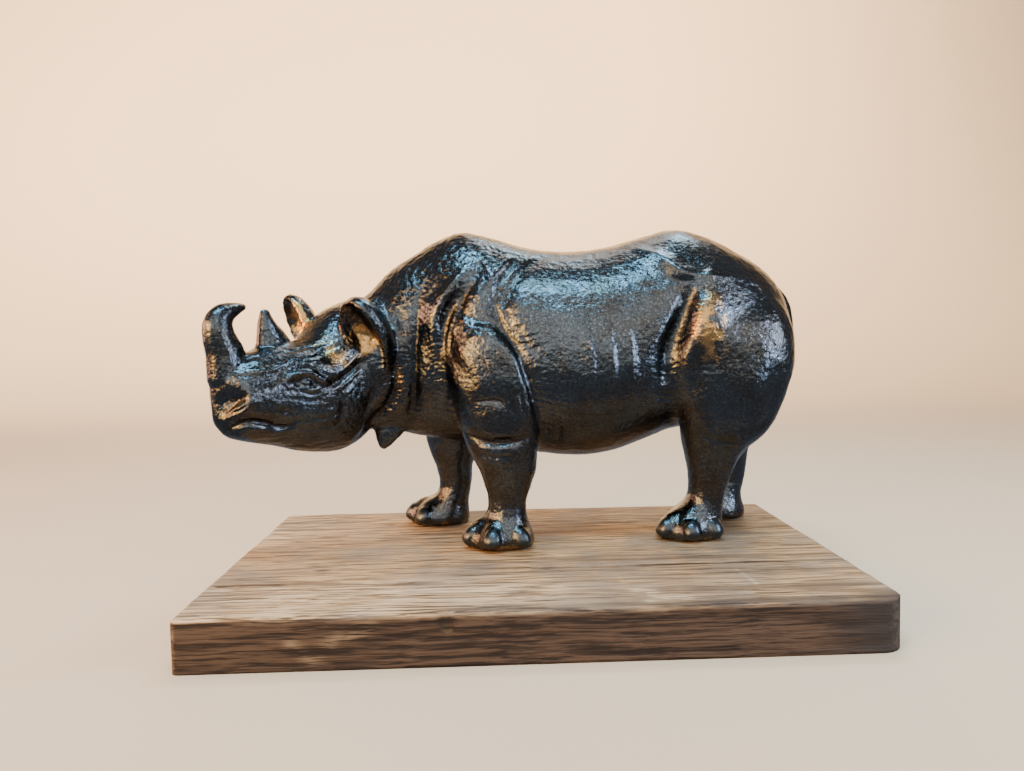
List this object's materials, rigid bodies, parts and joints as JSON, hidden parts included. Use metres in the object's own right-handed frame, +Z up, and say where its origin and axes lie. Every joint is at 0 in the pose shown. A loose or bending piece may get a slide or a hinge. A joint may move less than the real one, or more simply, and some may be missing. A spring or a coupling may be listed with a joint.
{
  "type": "rhinoceros figurine",
  "caption": "Dark cast metal figurine of a walking two-horned rhinoceros with turned head, standing on a flat weathered hardwood board.",
  "frame": {"origin": "centre of the board's flat underside", "axes": "+Z up, +X along the board's length towards the animal's rump, -Y towards the side that the head turns to"},
  "size_m": [0.1232, 0.074, 0.0761],
  "materials": {
    "cast_metal": "dark antiqued metal, glossy, with a fine cast grain and brown tints in the recesses",
    "hardwood": "bare weathered hardwood, grey-brown, worn edges"
  },
  "bodies": {
    "root": {"rhinoceros": "cast_metal", "board": "hardwood"}
  },
  "joints": []
}
